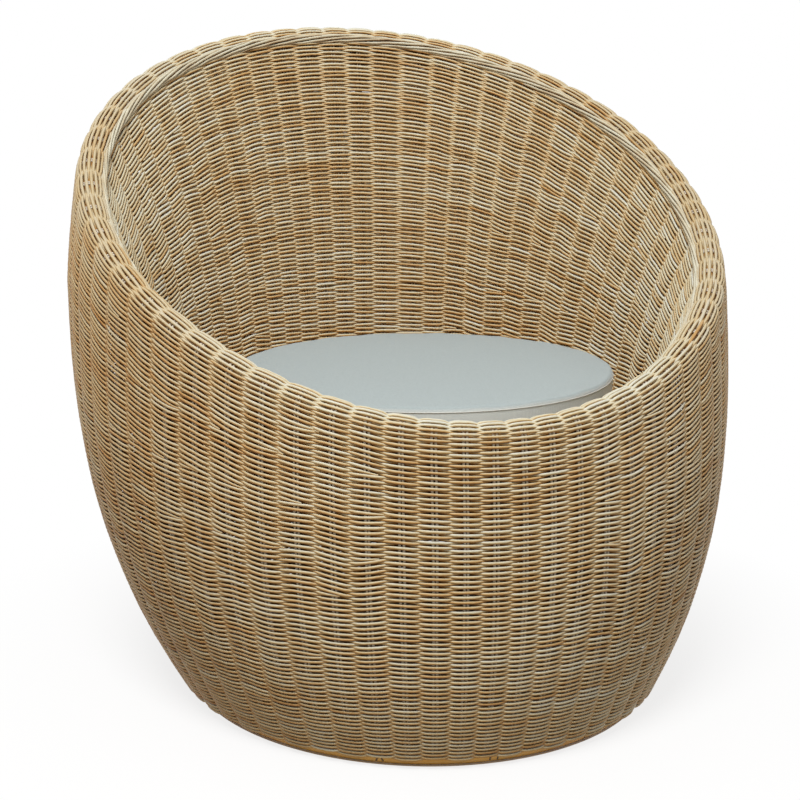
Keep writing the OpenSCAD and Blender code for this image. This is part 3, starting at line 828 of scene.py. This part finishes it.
def fill_out(ob, held, centre):
    """Moves the pad's points to where they lie in the filled cover, and returns them."""
    rest = positions(ob.data)
    now = rest.copy()
    moved = run_cloth(ob, held) - rest
    far = np.linalg.norm(moved, axis=1).max()
    now = rest + moved * CROWN / 1000 / max(far, CROWN / 1000)
    dx, dy = now[:, 0] - centre[0], now[:, 1] - centre[1]
    rr, turn = np.hypot(dx, dy), np.arctan2(dx, -dy)
    near = np.exp(-np.clip((CUSHION_R - PUCKER_IN) / 1000 - rr, 0, 1) / PUCKER_FADE)
    near = near * (now[:, 2] > centre[2] + (CUSHION_T - PUCKER_DOWN) / 1000)
    dips = waves(turn, 78, 1.0, 4) * (rr > SAG_FROM) * (now[:, 2] > centre[2] + SAG_ABOVE)
    now[:, 2] += PUCKER * near * waves(turn, 77, 9.0, 9) + SAG * dips
    height = np.clip((now[:, 2] - centre[2]) * 1000 / CUSHION_T, 0, 1)
    now[:, 2] += (LEAN_X * dx + LEAN_Y * dy) * height
    now[:, 2] = np.clip(now[:, 2], CUSHION_Z / 1000 + LOWEST, None)
    k = np.minimum(1, (CUSHION_R + WIDEST) / 1000 / np.maximum(rr, 1e-9))
    now[:, 0], now[:, 1] = centre[0] + dx * k, centre[1] + dy * k
    ob.data.vertices.foreach_set("co", now.ravel())
    ob.data.update()
    return now


cushion_at = (0, (CUSHION_Y - MID_Y) / 1000, CUSHION_Z / 1000)
profile, seam_low, seam_top = cushion_profile(CUSHION_R, CUSHION_T, ROUNDING)
pad = revolve(profile, CUSHION_SIDES, cushion_at, "cushion_pad")
pad_points = fill_out(pad, ring_of(seam_low) + ring_of(seam_top), cushion_at)
for p in pad.data.polygons:
    p.use_smooth = True
sub = pad.modifiers.new("subdivide", "SUBSURF")
sub.levels = sub.render_levels = 1
tagged([pad], "cushion", "cushion_cloth", cushion_material(), "cushion_cover", "cushion_foam")


def piping(index):
    """The seam that stands a little proud of one ring of the pad."""
    path = pad_points[ring_of(index)] * 1000 + np.array([0, MID_Y, 0])
    way = unit((path - path.mean(0)) * np.array([1, 1, 0]))
    return path + PIPING_OUT * way, way, PIPING_R, 0.5


thread = Nodes("cushion_seam", Roughness=0.85)
thread.colour(thread.ramp(thread.noise(thread.coord((700, 700, 700)), 1.0, 2.0),
                          [(0.3, (0.55, 0.54, 0.50)), (0.7, (0.70, 0.69, 0.65))]))
tagged([tubes("cushion_seams", [piping(seam_low), piping(seam_top)], 8, closed=True)],
       "cushion", "cushion_cloth", thread.mat)

# ---------------------------------------------------------------- floor and background
PAPER_LIT, PAPER_SEEN = (0.42, 0.42, 0.42), (0.93, 0.93, 0.93)
GLOW, GLOW_GAIN = 0.80, 0.5             # share of plain white, and how it grows further out
GLOW_FROM, GLOW_SCALE, GLOW_SHIFT = 0.27, 0.9, 0.33     # distances from the base, in metres
WORLD_LIT, WORLD_STRENGTH = (1, 0.96, 0.90), 0.44


def floor_paper():
    """Pale paper that fades to white away from the chair and keeps its shadow."""
    m = Nodes("floor_paper", Roughness=0.9, Specular_IOR_Level=0.0)
    seen = m.seen_straight()
    m.colour(m.mix(seen, PAPER_LIT, PAPER_SEEN))
    off = m.new("VectorMath", operation="SUBTRACT")
    m.feed(off.inputs[0], m.new("NewGeometry").outputs["Position"])
    off.inputs[1].default_value = (0, -MID_Y / 1000, 0)
    length = m.new("VectorMath", operation="LENGTH")
    m.feed(length.inputs[0], off.outputs[0])
    far = length.outputs["Value"]
    away = m.math("SUBTRACT", m.math("DIVIDE", far, GLOW_SCALE), GLOW_SHIFT, clamp=True)
    share = m.math("ADD", GLOW, m.math("MULTIPLY", away, GLOW_GAIN), clamp=True)
    seen = m.math("MULTIPLY", seen, m.math("GREATER_THAN", far, GLOW_FROM))
    blend = m.new("MixShader")
    glow = m.new("Emission", Color=(1, 1, 1))
    for index, value in enumerate((m.math("MULTIPLY", seen, share), m.bsdf.outputs[0],
                                   glow.outputs[0])):
        m.feed(blend.inputs[index], value)
    m.feed(m.out.inputs[0], blend.outputs[0])
    return m.mat


floor = new_object("floor", bpy.data.meshes.new("floor"))
bm = bmesh.new()
bmesh.ops.create_grid(bm, x_segments=1, y_segments=1, size=12)
bm.to_mesh(floor.data)
bm.free()
floor.data.materials.append(floor_paper())

world = bpy.data.worlds.new("studio")
bpy.context.scene.world = world
world.use_nodes = True
sky = Graph(world.node_tree)
pick = sky.new("MixShader")
lit = sky.new("Background", Color=WORLD_LIT, Strength=WORLD_STRENGTH)
white = sky.new("Background", Color=(1, 1, 1), Strength=1.0)
for index, value in enumerate((sky.seen_straight(), lit.outputs[0], white.outputs[0])):
    sky.feed(pick.inputs[index], value)
sky.feed(sky.new("OutputWorld").inputs[0], pick.outputs[0])


# ---------------------------------------------------------------- lamps and camera
def lamp(name, where, target, size, power):
    data = bpy.data.lights.new(name, "AREA")
    data.shape = "DISK"
    data.size = size
    data.energy = power
    ob = new_object(name, data)
    ob.location = where
    ob.rotation_euler = (Vector(target) - Vector(where)).to_track_quat("-Z", "Y").to_euler()


lamp("key", (-0.88, -1.6, 3.6), (0, 0, 0.4), 1.6, 115)
lamp("fill", (2.4, -2.2, 1.5), (0, 0, 0.3), 2.0, 1.5)

# Fitted to the photograph: angles, the place in mm from AIM, and the focal length in its pixels.
AZ, EL, ROLL = math.radians(-14.861), math.radians(13.579), math.radians(0.965)
AIM, SHIFT_RIGHT, SHIFT_UP, DISTANCE = Vector((0, 0, 313.4)), -28.06, 12.96, 1821.75
FOCAL, PICTURE, SENSOR = 1568.99, 800, 36
back = Vector((math.sin(AZ) * math.cos(EL), -math.cos(AZ) * math.cos(EL), math.sin(EL)))
right = Vector((math.cos(AZ), math.sin(AZ), 0))
upward = back.cross(right)
where = AIM + right * SHIFT_RIGHT + upward * SHIFT_UP + back * DISTANCE
rolled = Matrix((right * math.cos(ROLL) + upward * math.sin(ROLL),
                 upward * math.cos(ROLL) - right * math.sin(ROLL), back)).transposed()
lens = bpy.data.cameras.new("camera")
lens.sensor_width = SENSOR
lens.sensor_fit = "HORIZONTAL"
lens.lens = FOCAL / PICTURE * SENSOR
lens.clip_start, lens.clip_end = 0.05, 60
camera = new_object("camera", lens)
moved = Matrix.Translation((where - Vector((0, MID_Y, 0))) / 1000)
camera.matrix_world = moved @ rolled.to_4x4()
bpy.context.scene.camera = camera

view = bpy.context.scene.view_settings
view.view_transform = "Standard"
